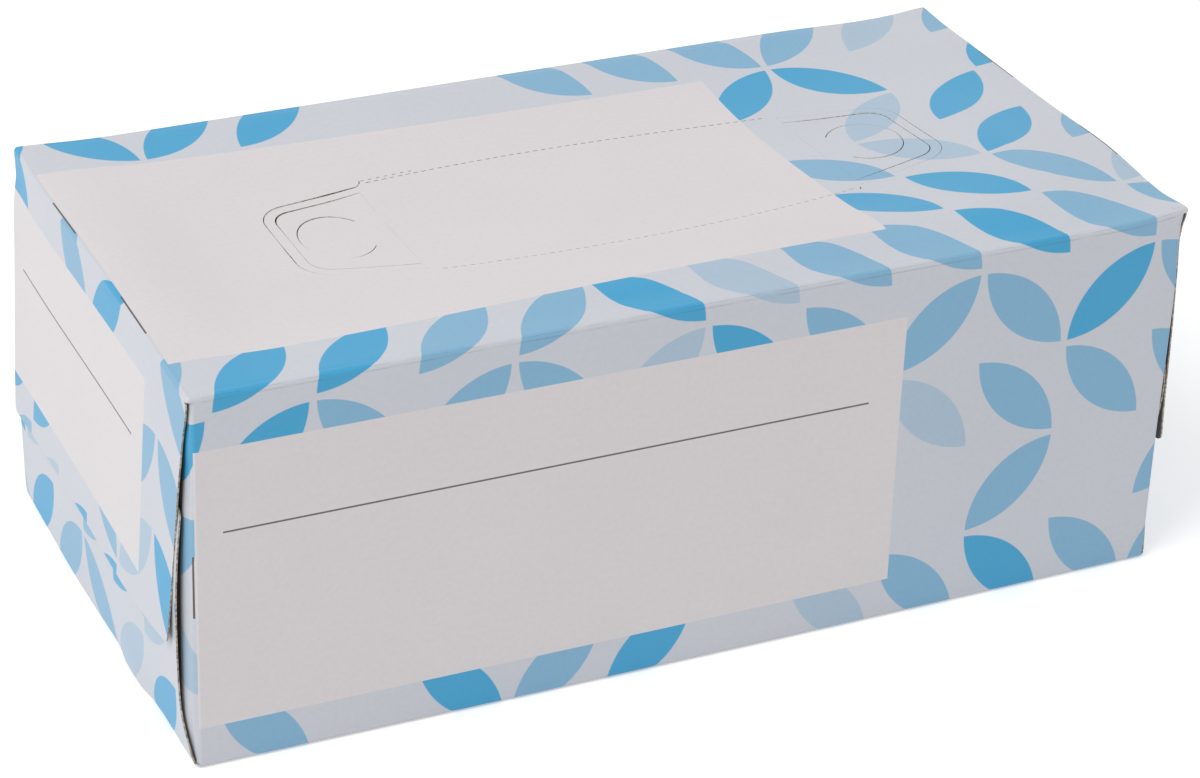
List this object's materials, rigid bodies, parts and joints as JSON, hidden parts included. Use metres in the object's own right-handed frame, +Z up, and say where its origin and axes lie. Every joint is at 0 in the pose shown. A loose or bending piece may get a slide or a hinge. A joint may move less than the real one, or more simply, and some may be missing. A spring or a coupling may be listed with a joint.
{
  "type": "tissue box",
  "caption": "Sealed rectangular cardboard tissue carton with glued overlapping end flaps and an unbroken perforated tear-out panel in its top.",
  "frame": {"origin": "centre of the bottom panel, on the surface that the carton rests on", "axes": "+X along the carton's length to its right-hand end, -Y out of its front panel, +Z up out of its top panel"},
  "size_m": [0.2266, 0.1146, 0.0842],
  "materials": {
    "printed_board": "satin print in pale grey-blue and blues on white-lined folding board"
  },
  "bodies": {
    "root": {"sealed_carton": "printed_board"}
  },
  "joints": []
}
